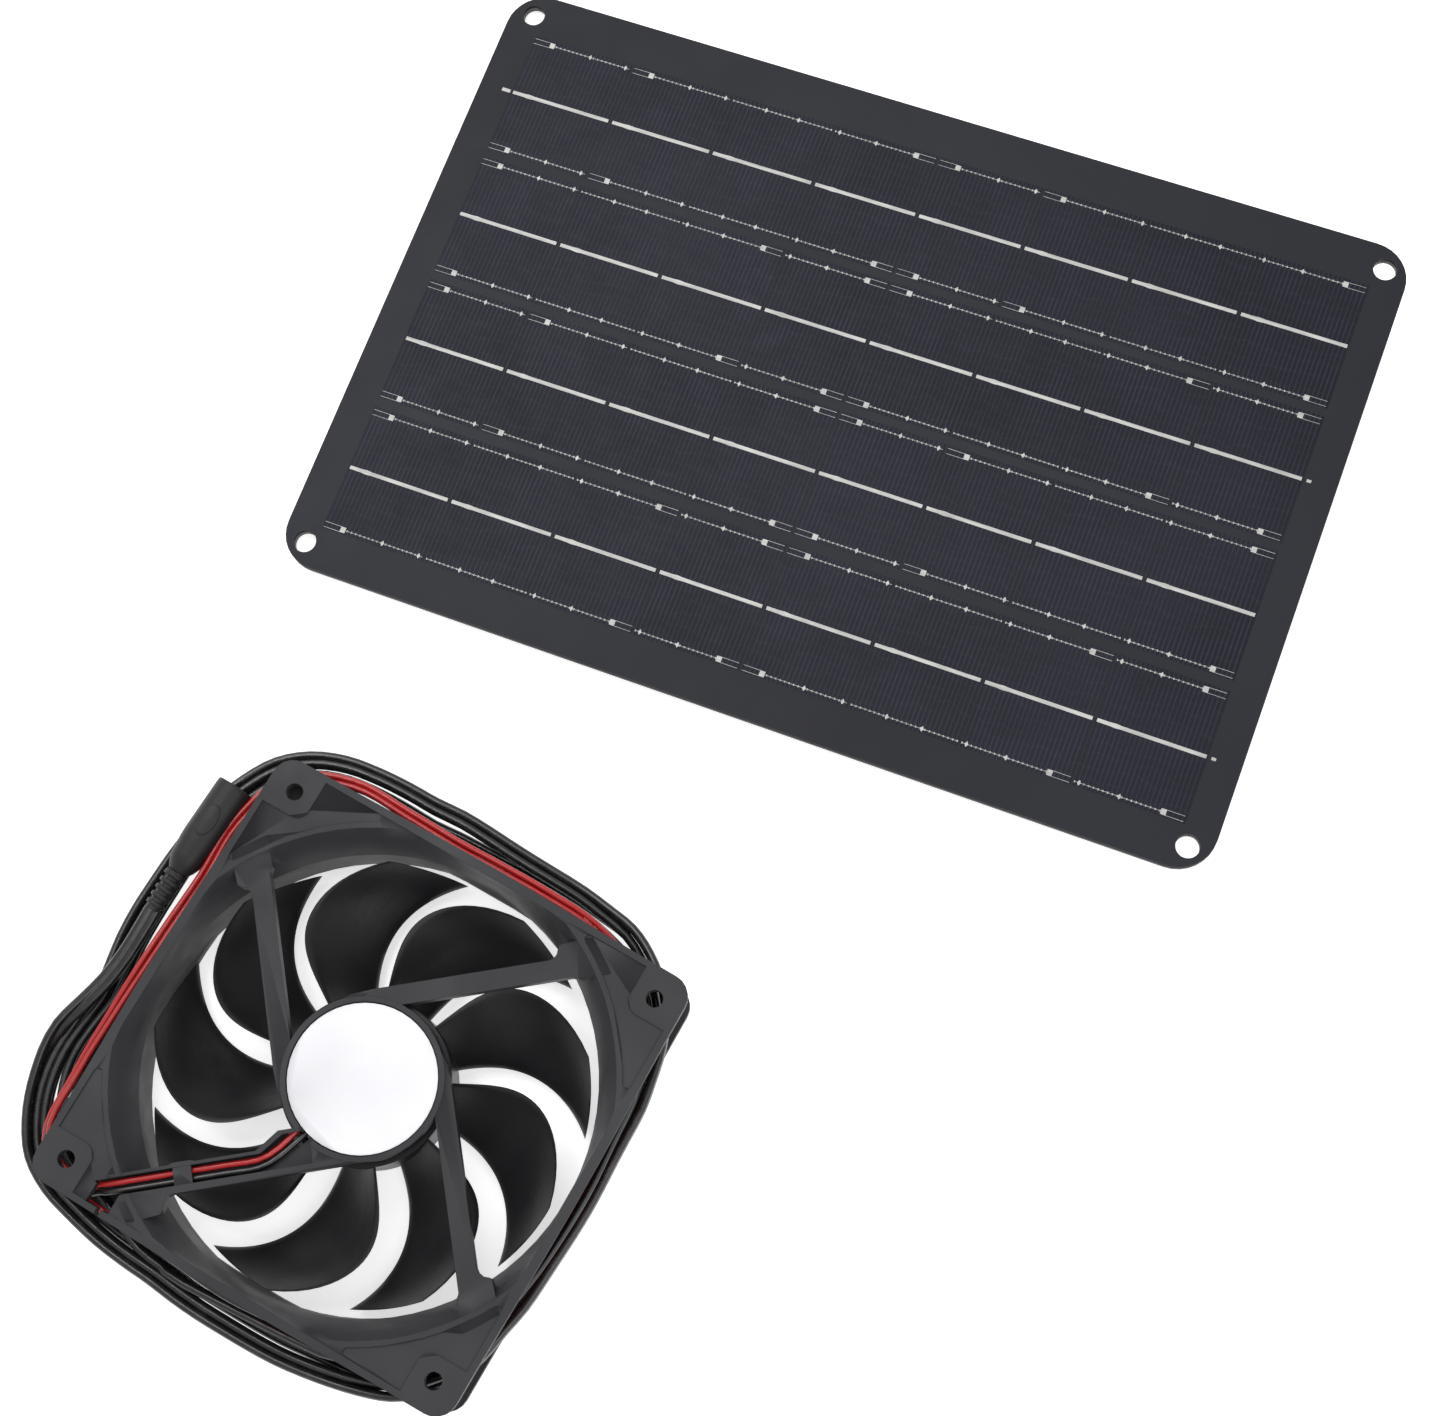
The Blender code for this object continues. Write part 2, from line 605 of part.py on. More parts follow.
def jack():
    """The moulded socket at the lead's far end, lying on the turns beside the frame."""
    rubber = paint("jack_rubber", (0.028, 0.028, 0.030), 0.6)
    mouth, tail = Vector((-67.6, 46.6, JACK_HEIGHT)), Vector((-68.7, 20.6, JACK_HEIGHT))
    axis = (mouth - tail).normalized()
    stand = Vector((0, 0, 1)).rotation_difference(axis).to_matrix().to_4x4()
    place = Matrix.Translation(tail * MM) @ stand
    length = (mouth - tail).length
    body = turned("jack_body", [
        (3.6, length), (4.9, length), (4.9, length - 17), (4.4, length - 20),
        (4.4, 4.0), (3.4, 1.6), (2.6, 0), (0, 0), (0, 8.5), (3.6, 8.5)], 28, FAN, rubber)
    body.matrix_local = place
    sleeve = ring("jack_contact_sleeve", 3.3, 2.85, 10.2, length - 1.5, 24, FAN,
                  paint("contact_nickel", (0.75, 0.74, 0.70), 0.25, 1.0))
    sleeve.matrix_local = place
    pin = turned("jack_pin", [(0, length - 2.2), (0.7, length - 2.2), (1.05, length - 2.8),
                              (1.05, 8.8), (0, 8.8)], 16, FAN,
                 paint("pin_nickel", (0.78, 0.77, 0.72), 0.2, 1.0), ring=False)
    pin.matrix_local = place
    relief = turned("jack_strain_relief", relief_profile(), 16, FAN, rubber, ring=False)
    relief.matrix_local = place
    route = [place.to_3x3() @ Vector((0, 0, -11.0)) + tail, (-69.0, 4.0, JACK_HEIGHT - 0.6),
             (-69.2, -3.0, JACK_HEIGHT - 2.2), (-69.9, -10.0, JACK_HEIGHT - 3.3)]
    wire("cable_tail", smooth_route(route, 2 * CABLE_RADIUS * 1.2), CABLE_RADIUS, FAN,
         paint("tail_black", (0.015, 0.015, 0.016), 0.3))


def relief_profile():
    """A necked boot with raised ribs, from the socket's tail down to the cable."""
    profile = [(0, -GAP), (2.5, -GAP)]
    rib_pitch = 2.5
    for rib in range(4):
        top = -0.7 - rib_pitch * rib
        profile += [(2.7, top), (2.7, top - 1.1), (1.9, top - 1.4), (1.9, top - 2.2)]
    return profile + [(1.9, -10.6), (0, -10.6)]


# ---------------------------------------------------------------- panel

def panel_holes():
    return [circle((x * PANEL_HOLE_X / 2, y * PANEL_HOLE_Y / 2), PANEL_HOLE_RADIUS, 24)
            for x in (-1, 1) for y in (-1, 1)]


def panel():
    outline = rounded_box(PANEL_X / 2, PANEL_Y / 2, PANEL_CORNER, 8)
    plate("panel_backing", [outline] + panel_holes(), 0, BACKING_THICK, PANEL,
          paint("backing_black", (0.02, 0.02, 0.024), 0.5))
    silicon = paint("cell_silicon", (0.018, 0.020, 0.030), 0.35)
    for row in range(4):
        middle = ROW_PITCH * (1.5 - row)
        block(f"cell_string_{row + 1}", (-ROW_LENGTH / 2, middle - ROW_HEIGHT / 2, BACKING_THICK + GAP),
              (ROW_LENGTH / 2, middle + ROW_HEIGHT / 2, BACKING_THICK + GAP + 0.2), PANEL, silicon)
    plate("front_film", [outline] + panel_holes(), BACKING_THICK + 2 * GAP + 0.2, PANEL_THICK,
          PANEL, paint("film_clear", (0.03, 0.03, 0.036), 0.3))
    junction_box()


def junction_box():
    """The box under the panel's right-hand end, where its current comes out."""
    plastic = paint("box_plastic", (0.02, 0.02, 0.022), 0.5)
    left, right = BOX_INNER_EDGE, BOX_INNER_EDGE + BOX_X
    half = BOX_Y / 2
    lid_top = -BOX_HEIGHT + 2.4
    base = block("junction_box_base", (left, -half, lid_top + GAP), (right, half, -GAP), PANEL, plastic)
    hollow = block("box_hollow", (left + 2, -half + 2, -BOX_HEIGHT), (right - 2, half - 2, -2.5), PANEL)
    combine(base, "DIFFERENCE", hollow)
    corners = [(x, y) for x in (left + 4.6, right - 4.6) for y in (-half + 4.6, half - 4.6)]
    for number, corner in enumerate(corners):
        post = ring(f"box_post_{number}", 3.2, 1.5, lid_top + GAP, -2.0, 20, PANEL, at=corner)
        combine(base, "UNION", post)
    gland_y = 0.0
    way = disc("gland_way", 3.4, -6, 6, 24, PANEL)
    way.matrix_local = (Matrix.Translation(Vector((right, gland_y, -7.6)) * MM)
                        @ Matrix.Rotation(math.radians(90), 4, "Y"))
    combine(base, "DIFFERENCE", way)
    lid = block("junction_box_lid", (left, -half, -BOX_HEIGHT), (right, half, lid_top), PANEL, plastic)
    steel = paint("screw_steel", (0.6, 0.6, 0.62), 0.3, 1.0)
    for number, corner in enumerate(corners):
        bore = turned(f"lid_bore_{number}", [(0, lid_top + 1), (1.5, lid_top + 1), (1.5, -BOX_HEIGHT + 1.6),
                                             (2.9, -BOX_HEIGHT + 1.6), (2.9, -BOX_HEIGHT - 1),
                                             (0, -BOX_HEIGHT - 1)], 20, PANEL, at=corner, ring=False)
        combine(lid, "DIFFERENCE", bore)
        turned(f"lid_screw_{number + 1}", [(0, -5.0), (1.2, -5.0), (1.2, -BOX_HEIGHT + 1.3),
                                           (2.6, -BOX_HEIGHT + 1.3), (2.6, -BOX_HEIGHT + 0.3),
                                           (0, -BOX_HEIGHT + 0.3)], 16, PANEL, steel, at=corner,
               ring=False)
    middle = (left + right) / 2
    block("terminal_block", (middle - 12, -9, -6.5), (middle - 4, 9, -2.5 - GAP), PANEL,
          paint("terminal_white", (0.7, 0.7, 0.68), 0.5))
    diode = disc("blocking_diode", 2.6, -4.5, 4.5, 20, PANEL,
                 paint("diode_epoxy", (0.02, 0.02, 0.02), 0.4))
    diode.matrix_local = (Matrix.Translation(Vector((middle + 4, 0, -5.6)) * MM)
                          @ Matrix.Rotation(math.radians(90), 4, "X"))
    gland = turned("cable_gland", [
        (2.2, 9.5), (3.6, 9.5), (4.6, 7.5), (4.6, 2.4), (5.6, 2.4), (5.6, GAP), (3.1, GAP),
        (3.1, -6.0), (2.2, -6.0)], 24, PANEL, paint("gland_nylon", (0.02, 0.02, 0.02), 0.45))
    gland.matrix_local = (Matrix.Translation(Vector((right, gland_y, -7.6)) * MM)
                          @ Matrix.Rotation(math.radians(90), 4, "Y"))


fan_frame()
motor()
rotor()
leads()
turns()
jack()
panel()
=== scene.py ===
"""Solar attic fan kit: the looks of the fan, its wound lead and its panel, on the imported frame."""
import json
import math

import bmesh
import bpy
from mathutils import Matrix, Vector


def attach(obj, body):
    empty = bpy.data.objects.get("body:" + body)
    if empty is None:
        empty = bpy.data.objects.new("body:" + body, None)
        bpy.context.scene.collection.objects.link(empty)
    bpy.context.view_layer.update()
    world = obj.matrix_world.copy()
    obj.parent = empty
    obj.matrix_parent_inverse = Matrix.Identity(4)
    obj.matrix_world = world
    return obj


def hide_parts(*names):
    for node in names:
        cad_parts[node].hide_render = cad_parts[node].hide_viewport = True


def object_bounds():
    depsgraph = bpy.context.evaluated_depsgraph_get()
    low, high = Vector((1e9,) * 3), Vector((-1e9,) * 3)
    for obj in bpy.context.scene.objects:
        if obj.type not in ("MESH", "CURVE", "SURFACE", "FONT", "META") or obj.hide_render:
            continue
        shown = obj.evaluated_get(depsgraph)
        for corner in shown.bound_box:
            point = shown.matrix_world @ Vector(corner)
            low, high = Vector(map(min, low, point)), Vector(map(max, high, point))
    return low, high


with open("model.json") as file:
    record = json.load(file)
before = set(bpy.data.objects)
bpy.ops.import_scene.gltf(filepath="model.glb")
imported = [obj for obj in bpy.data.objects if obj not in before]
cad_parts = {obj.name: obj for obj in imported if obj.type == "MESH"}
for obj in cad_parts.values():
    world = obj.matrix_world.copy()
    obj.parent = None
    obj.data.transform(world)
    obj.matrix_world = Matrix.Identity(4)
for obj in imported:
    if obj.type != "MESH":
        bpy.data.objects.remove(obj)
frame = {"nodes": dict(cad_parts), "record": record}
cad_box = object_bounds()

MM = 0.001
WELD = 2e-6                   # metres
UP = Vector((0, 0, 1))
BASE, ROTOR = "fan_and_panel", "rotor"
scene = bpy.context.scene
mounts = {m["name"]: m for m in frame["record"]["mounts"]}
joint = frame["record"]["behaviour"]["joints"][0]


def axes_at(origin, x_axis, z_axis):
    """A matrix from its origin, its X axis and its Z axis."""
    z = Vector(z_axis).normalized()
    y = z.cross(Vector(x_axis)).normalized()
    x = y.cross(z)
    turn = Matrix((x, y, z)).transposed().to_4x4()
    return Matrix.Translation(origin) @ turn


def mount_at(name):
    """A mount's place, by its name in the record."""
    return Vector(mounts[name]["pos_m"])


# the fan's frame: on its axis at the ground, X along its upper side; and the panel's: at the
# middle of its underside, X along its length and Z out of its face
FAN = axes_at(Vector((joint["pos_m"][0], joint["pos_m"][1], 0)),
              mount_at("fan_front_boss_b") - mount_at("fan_front_boss_a"), UP)
FACE_AXIS = Vector(mounts["panel_corner_left"]["axis"]).normalized()
PANEL_THICK = 3.0
PANEL = axes_at((mount_at("panel_corner_left") + mount_at("panel_corner_right")) / 2
                - FACE_AXIS * PANEL_THICK * MM, Vector((0, 1, 0)).cross(FACE_AXIS), FACE_AXIS)


# ---------------------------------------------------------------- materials

class Paint:
    """A Principled material and short ways to wire its detail; place is the object's own space."""

    def __init__(self, name, colour, roughness, metallic=0.0, coat=0.0, coat_roughness=0.1,
                 specular=0.5):
        self.material = bpy.data.materials.new(name)
        self.material.use_nodes = True
        self.nodes = self.material.node_tree.nodes
        self.links = self.material.node_tree.links
        self.shader = self.nodes["Principled BSDF"]
        self.set("Base Color", (*colour, 1))
        self.set("Roughness", roughness)
        self.set("Metallic", metallic)
        self.set("Coat Weight", coat)
        self.set("Coat Roughness", coat_roughness)
        self.set("Specular IOR Level", specular)
        self.place = self.add("ShaderNodeTexCoord").outputs["Object"]
        self.normal = None

    def set(self, name, value):
        self.shader.inputs[name].default_value = value

    def add(self, kind, **settings):
        node = self.nodes.new(kind)
        for name, value in settings.items():
            setattr(node, name, value)
        return node

    def noise(self, scale, detail=2.0, roughness=0.5, stretch=None):
        """Noise over the object's own space, squeezed along an axis where stretch is over 1."""
        node = self.add("ShaderNodeTexNoise")
        node.inputs["Scale"].default_value = scale
        node.inputs["Detail"].default_value = detail
        node.inputs["Roughness"].default_value = roughness
        place = self.place
        if stretch:
            mapping = self.add("ShaderNodeMapping")
            mapping.inputs["Scale"].default_value = stretch
            self.links.new(place, mapping.inputs["Vector"])
            place = mapping.outputs["Vector"]
        self.links.new(place, node.inputs["Vector"])
        return node.outputs["Fac"]

    def ramp(self, source, stops):
        """Colours at places from 0 to 1 of a grey source."""
        node = self.add("ShaderNodeValToRGB")
        elements = node.color_ramp.elements
        while len(elements) < len(stops):
            elements.new(0.5)
        for element, (position, colour) in zip(elements, stops):
            element.position = position
            element.color = (*colour, 1)
        self.links.new(source, node.inputs["Fac"])
        return node.outputs["Color"]

    def spread(self, source, low, high, from_low=0.3, from_high=0.7):
        """The source's middle range, carried over to the range from low to high."""
        node = self.add("ShaderNodeMapRange")
        for name, value in (("From Min", from_low), ("From Max", from_high),
                            ("To Min", low), ("To Max", high)):
            node.inputs[name].default_value = value
        self.links.new(source, node.inputs["Value"])
        return node.outputs["Result"]

    def math(self, operation, first, second=None):
        node = self.add("ShaderNodeMath", operation=operation)
        for socket, value in zip(node.inputs, (first, second)):
            if value is None:
                continue
            if isinstance(value, (int, float)):
                socket.default_value = value
            else:
                self.links.new(value, socket)
        return node.outputs[0]

    def mix(self, share, first, second):
        """The first colour with a share of the second."""
        node = self.add("ShaderNodeMix", data_type="RGBA")
        for socket, value in ((node.inputs[0], share), (node.inputs[6], first),
                              (node.inputs[7], second)):
            if isinstance(value, (int, float)):
                socket.default_value = value
            elif isinstance(value, tuple):
                socket.default_value = (*value, 1)
            else:
                self.links.new(value, socket)
        return node.outputs[2]

    def colour(self, source):
        self.links.new(source, self.shader.inputs["Base Color"])
        return self

    def rough(self, source):
        self.links.new(source, self.shader.inputs["Roughness"])
        return self

    def bump(self, source, depth_mm, strength=1.0):
        """Adds relief on top of any edge softening."""
        node = self.add("ShaderNodeBump")
        node.inputs["Strength"].default_value = strength
        node.inputs["Distance"].default_value = depth_mm * MM
        self.links.new(source, node.inputs["Height"])
        if self.normal is not None:
            self.links.new(self.normal, node.inputs["Normal"])
        self.normal = node.outputs["Normal"]
        self.links.new(self.normal, self.shader.inputs["Normal"])
        return self

    def soft_edges(self, radius_mm):
        """Shades sharp edges as if they were rounded."""
        node = self.add("ShaderNodeBevel", samples=4)
        node.inputs["Radius"].default_value = radius_mm * MM
        self.normal = node.outputs["Normal"]
        self.links.new(self.normal, self.shader.inputs["Normal"])
        return self


def plastic(name, colour, roughness, grain=1400, depth=0.02, edge=0.35, specular=0.5):
    """Moulded plastic: fine grain, faint flow marks and softened edges."""
    paint = Paint(name, colour, roughness, specular=specular).soft_edges(edge)
    flow = paint.noise(28, 3)
    light = tuple(min(1, c * 1.35 + 0.002) for c in colour)
    dark = tuple(c * 0.8 for c in colour)
    paint.colour(paint.ramp(flow, [(0.3, dark), (0.7, light)]))
    paint.rough(paint.spread(paint.noise(90, 4), roughness - 0.06, roughness + 0.08))
    return paint.bump(paint.noise(grain, 2), depth).material


def metal(name, colour, roughness):
    """Bare metal: fine level lines, as turning leaves them, and slightly uneven colour."""
    paint = Paint(name, colour, roughness, metallic=1.0).soft_edges(0.1)
    brushed = paint.noise(400, 2, stretch=(1, 1, 30))
    paint.rough(paint.spread(brushed, roughness - 0.05, roughness + 0.1))
    paint.colour(paint.ramp(paint.noise(60, 3), [(0.3, tuple(c * 0.85 for c in colour)),
                                                 (0.7, colour)]))
    return paint.bump(brushed, 0.01, 0.4).material


def insulation(name, colour, roughness):
    """Extruded cable insulation: glossy, with slight waviness along it and a little dust."""
    paint = Paint(name, colour, roughness, coat=0.3, coat_roughness=0.15)
    dust = paint.noise(260, 5, 0.65)
    paint.colour(paint.mix(paint.spread(dust, 0.0, 0.18, 0.5, 0.8), colour,
                           tuple(min(1, c + 0.12) for c in colour)))
    paint.rough(paint.spread(paint.noise(500, 3), roughness - 0.05, roughness + 0.12))
    return paint.bump(paint.noise(160, 2), 0.05, 0.5).material


FRAME_PLASTIC = plastic("fan_frame_plastic", (0.027, 0.0275, 0.031), 0.52, grain=1700,
                        depth=0.012, edge=0.18, specular=0.32)
BLADE_PLASTIC = plastic("blade_plastic", (0.0065, 0.0066, 0.0078), 0.40, grain=620, depth=0.05,
                        edge=0.25, specular=0.42)
RED = insulation("wire_red", (0.42, 0.010, 0.011), 0.32)
BLACK = insulation("wire_black", (0.010, 0.010, 0.011), 0.28)
RUBBER = plastic("socket_rubber", (0.014, 0.014, 0.0155), 0.50, grain=2200, depth=0.02, edge=0.3,
                 specular=0.35)
NICKEL = metal("contact_nickel", (0.72, 0.70, 0.66), 0.25)
STEEL = metal("plain_steel", (0.56, 0.57, 0.59), 0.3)
BRASS = metal("plain_brass", (0.70, 0.52, 0.22), 0.3)
COPPER = metal("winding_copper", (0.72, 0.33, 0.14), 0.35)
BOX_PLASTIC = plastic("box_plastic", (0.016, 0.016, 0.018), 0.45, grain=1200, depth=0.03)
WHITE_NYLON = plastic("white_nylon", (0.66, 0.65, 0.60), 0.45)
EPOXY = plastic("black_epoxy", (0.015, 0.015, 0.016), 0.35)
FERRITE = plastic("magnet_ferrite", (0.045, 0.045, 0.05), 0.6)


def label_paper():
    """The blank label: pale, faintly uneven paper with a thin varnish."""
    paint = Paint("label_paper", (0.83, 0.83, 0.86), 0.45, coat=0.15, coat_roughness=0.3)
    paint.colour(paint.ramp(paint.noise(45, 4), [(0.3, (0.80, 0.80, 0.83)),
                                                 (0.7, (0.86, 0.86, 0.89))]))
    paint.rough(paint.spread(paint.noise(300, 3), 0.40, 0.52))
    return paint.bump(paint.noise(700, 3), 0.01).material


def board_green():
    """The circuit board's lacquer over its copper areas."""
    paint = Paint("board_green", (0.03, 0.16, 0.07), 0.4, coat=0.4)
    copper = paint.noise(220, 1)
    paint.colour(paint.ramp(copper, [(0.45, (0.02, 0.12, 0.05)), (0.55, (0.04, 0.20, 0.09))]))
    return paint.bump(copper, 0.03).material


# ---------------------------------------------------------------- geometry helpers

def show(obj, material, body, matrix, sharp=None):
    """Puts a new piece in the scene on its body, smooth except at edges over sharp degrees."""
    obj.matrix_world = matrix
    scene.collection.objects.link(obj)
    obj.data.materials.clear()
    obj.data.materials.append(material)
    if sharp is not None:
        obj.data.shade_smooth()
        obj.data.set_sharp_from_angle(angle=math.radians(sharp))
    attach(obj, body)
    return obj


def mesh_of(name, points, faces):
    """A mesh from points in millimetres."""
    mesh = bpy.data.meshes.new(name)
    mesh.from_pydata([Vector(p) * MM for p in points], [], faces)
    bm = bmesh.new()
    bm.from_mesh(mesh)
    bmesh.ops.recalc_face_normals(bm, faces=bm.faces)
    bm.to_mesh(mesh)
    bm.free()
    return bpy.data.objects.new(name, mesh)


def refined(node, material, angle=32):
    """The CAD node's own shape, welded and shaded smooth, as a piece that stands for it."""
    source = frame["nodes"][node]
    bm = bmesh.new()
    bm.from_mesh(source.data)
    bmesh.ops.remove_doubles(bm, verts=bm.verts, dist=WELD)
    mesh = bpy.data.meshes.new(node + "_shown")
    bm.to_mesh(mesh)
    bm.free()
    piece = bpy.data.objects.new(node + "_shown", mesh)
    show(piece, material, BASE, source.matrix_world.copy(), angle)
    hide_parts(node)
    return piece


def lathe(profile, steps):
    """Points and faces of (radius, height) points turned about Z."""
    points, faces = [], []
    count = len(profile)
    for i in range(steps):
        turn = 2 * math.pi * i / steps
        points += [(r * math.cos(turn), r * math.sin(turn), z) for r, z in profile]
        start, after = i * count, (i + 1) % steps * count
        for k in range(count - 1):
            faces.append((start + k, after + k, after + k + 1, start + k + 1))
    return points, faces


def turned(name, profile, steps):
    """A turned piece about its own Z axis, from (radius, height) points in millimetres."""
    return mesh_of(name, *lathe(profile, steps))


def smooth_step(t):
    """0 to 1 with a level start and end."""
    t = max(0.0, min(1.0, t))
    return t * t * (3 - 2 * t)


def keyed(keys, at):
    """The value at a place, eased between (place, value, ...) keys."""
    if at <= keys[0][0]:
        return keys[0][1:]
    for low, high in zip(keys, keys[1:]):
        if at <= high[0]:
            t = smooth_step((at - low[0]) / (high[0] - low[0]))
            return tuple(a + (b - a) * t for a, b in zip(low[1:], high[1:]))
    return keys[-1][1:]


def through(before, start, end, after, t):
    """A number or point between start and end, on a smooth curve through all four."""
    return 0.5 * (2 * start + (end - before) * t
                  + (2 * before - 5 * start + 4 * end - after) * t * t
                  + (3 * start - before - 3 * end + after) * t ** 3)


def smooth_route(points, spacing):
    """Points about spacing apart on a smooth curve through the given ones."""
    points = [Vector(p) for p in points]
    padded = [2 * points[0] - points[1]] + points + [2 * points[-1] - points[-2]]
    route = []
    for before, start, end, after in zip(padded, padded[1:], padded[2:], padded[3:]):
        steps = max(1, round((end - start).length / spacing))
        route += [through(before, start, end, after, i / steps) for i in range(steps)]
    return route + [points[-1]]


def thread(name, points, radius, material):
    """A round wire along points of the fan's frame, as one open curve."""
    curve = bpy.data.curves.new(name, "CURVE")
    curve.dimensions = "3D"
    curve.bevel_depth = radius * MM
    curve.bevel_resolution = 4
    curve.use_fill_caps = True
    spline = curve.splines.new("POLY")
    spline.points.add(len(points) - 1)
    for point, place in zip(spline.points, points):
        point.co = (*(Vector(place) * MM), 1)
    spline.use_smooth = True
    return show(bpy.data.objects.new(name, curve), material, BASE, FAN)


# ---------------------------------------------------------------- the wound lead

WIRE_STRUT = 219.0            # angle of the strut that carries the wires
WIRE_LANE = 16.2              # from the line through the fan's axis to the pair's middle on it
BOARD_EXIT = 250.0            # angle at which the wires leave the board
WIRE_RADIUS = 0.78
WIRE_SPACE = 0.82             # from the pair's middle to the middle of either wire
WIRE_LAPS = range(38, 639, 12)
SPLICE_RADIUS = 63.4          # from the fan's axis to the middle of the splice sleeve
SPLICE_HALF = 12.9            # from there to where the wires and the cable enter it
SPLICE_HEIGHT = 15.9


def polar(degrees, radius, height, across=0.0):
    """A point of the fan's frame at an angle and a radius, moved across that direction."""
    c, s = math.cos(math.radians(degrees)), math.sin(math.radians(degrees))
    return Vector((c * radius - s * across, s * radius + c * across, height))


def along_table(table, degrees):
    """The radius at an angle, smoothly through a closed table of (angle, radius)."""
    first = table[0][0]
    at = (degrees - first) % 360 + first
    index = min(max(i for i, (place, _) in enumerate(table) if place <= at), len(table) - 2)
    wrap = len(table) - 1
    around = [table[(index + k) % wrap][1] for k in (-1, 0, 1, 2)]
    return through(*around, (at - table[index][0]) / (table[index + 1][0] - table[index][0]))


def splice_end(sign):
    """An end of the splice sleeve: 1 is where the wires enter it, -1 is the cable's end."""
    diagonal = math.sqrt(0.5)
    return Vector(((SPLICE_RADIUS + sign * SPLICE_HALF) * diagonal,
                   (sign * SPLICE_HALF - SPLICE_RADIUS) * diagonal, SPLICE_HEIGHT))


# angle and radius of the inner turn of the two wires, once round
INNER = [(-90, 61.3), (-76, 61.7), (-60, 66.6), (-45, 69.6), (-30, 67.0), (-15, 62.9), (0, 61.8),
         (15, 63.0), (30, 67.6), (45, 70.2), (57, 69.6), (67, 66.0), (80, 62.2), (90, 61.3),
         (103, 62.6), (116, 68.2), (125, 74.6), (135, 78.0), (144, 75.2), (152, 70.0), (161, 65.0),
         (170, 62.9), (180, 62.3), (193, 64.2), (205, 69.2), (213, 74.0), (219, 79.0), (226, 79.2),
         (232, 73.4), (240, 67.2), (257, 61.7), (270, 61.3)]
# lap angle, how far outside that turn, height, and twist: 90 has the red wire on top
PAIR_KEYS = [(38, 0.0, 19.5, 155), (62, 0.0, 19.4, 90), (215, 0.0, 19.4, 90),
             (240, 0.0, 19.4, 255), (365, 0.0, 19.4, 265), (396, 0.9, 16.5, 90),
             (412, 1.3, 16.5, 90), (426, 1.8, 17.2, 90), (444, 1.7, 19.4, 90),
             (560, 1.7, 19.4, 90), (582, 1.9, 16.1, 130), (604, 0.1, 16.0, 220),
             (620, 0.0, 16.0, 255), (645, 0.0, 16.0, 262)]


def wire_pair(lap):
    """Middle of the two wires and their twist at a lap angle, clockwise from the lower side."""
    degrees = -90 - lap
    side, height, twist = keyed(PAIR_KEYS, lap)
    return polar(degrees, along_table(INNER, degrees) + side, height), math.radians(twist)


def wire_route(side):
    """One wire, -1 for red or 1 for black: up its strut, down the window, round to the splice."""
    lane = WIRE_LANE + side
    points = [polar(BOARD_EXIT, radius, height, 1.1 * side)
              for radius, height in ((15.0, 18.2), (15.6, 20.6), (18.2, 22.0))]
    points.append(polar(WIRE_STRUT, 22.5, 22.4, lane - 2.1))
    points += [polar(WIRE_STRUT, radius, 22.5, lane) for radius in (28, 36, 44, 54, 62)]
    points.append(polar(WIRE_STRUT, 65.4, 21.8, lane - 0.1))
    points.append(polar(WIRE_STRUT, 67.4, 20.8 - 0.3 * side, lane - 0.5))
    wound = []
    for lap in WIRE_LAPS:
        place, twist = wire_pair(lap)
        outward = Vector((place.x, place.y, 0)).normalized()
        offset = outward * math.cos(twist) + UP * math.sin(twist)
        wound.append(place - side * WIRE_SPACE * offset)
    end = splice_end(1) + UP * 0.8 * side
    into_splice = [end + Vector((3.6, 6.4, 0.1)), end, end - Vector((1.0, 1.0, 0))]
    rise = smooth_route(points + wound[:1], spacing=2.5)
    return rise[:-1] + smooth_route(wound + into_splice, spacing=3.5)


# angle and radius of the outside of the cable's turns, once round
OUTER = [(-90, 70.5), (-75.7, 71.9), (-67.7, 73.6), (-59.8, 75.8), (-53, 77.5), (-42, 76.6),
         (-30, 70.0), (-15, 64.6), (0, 63.2), (15, 64.8), (30, 71.0), (42, 77.0), (51.8, 78.2),
         (60.4, 77.2), (67, 74.5), (81, 71.0), (92, 70.8), (108, 74.3), (115, 77.8), (122, 82.0),
         (128.5, 85.9), (136, 88.0), (144, 86.8), (161.5, 80.2), (172.4, 77.3), (184, 76.1),
         (191.5, 76.6), (200.5, 81.5), (207, 85.2), (217, 87.5), (225, 87.1), (230, 83.6),
         (237, 79.5), (251.5, 72.9), (270, 70.5)]

STRAND = 1.15                 # radius of one of the cable's two strands
STRAND_APART = 1.1            # from the cable's middle to the middle of either strand
ROW = 2.33                    # from one turn to the next, outwards
CABLE_LAPS = range(12, 1141, 6)
# lap angle, how many rows in from the bundle's outside, height
CABLE_KEYS = [(8, 2.0, 13.2), (20, 1.9, 11.0), (40, 4.2, 10.4), (66, 3.2, 10.4), (90, 2.6, 10.4),
              (135, 2.2, 9.8), (163, 2.2, 5.9), (192, 1.2, 5.9), (225, 0.5, 5.9), (255, 0.0, 6.1),
              (285, 0.0, 6.1), (315, 0.5, 5.9), (345, 1.9, 5.9), (388, 1.9, 5.9), (412, 1.9, 10.4),
              (428, 2.0, 10.4), (454, 1.2, 10.4), (510, 1.0, 10.7), (585, 1.0, 10.9), (615, 0.0, 10.9),
              (645, 0.0, 10.9), (675, 1.0, 10.7), (705, 0.95, 10.4), (788, 1.1, 10.4), (816, 0.1, 10.4),
              (915, 0.0, 10.4), (945, 0.0, 15.7), (970, -0.65, 15.7), (1010, -0.65, 15.7),
              (1034, 0.0, 15.7), (1058, 0.0, 11.0), (1110, 0.0, 10.6), (1140, 0.0, 11.6)]
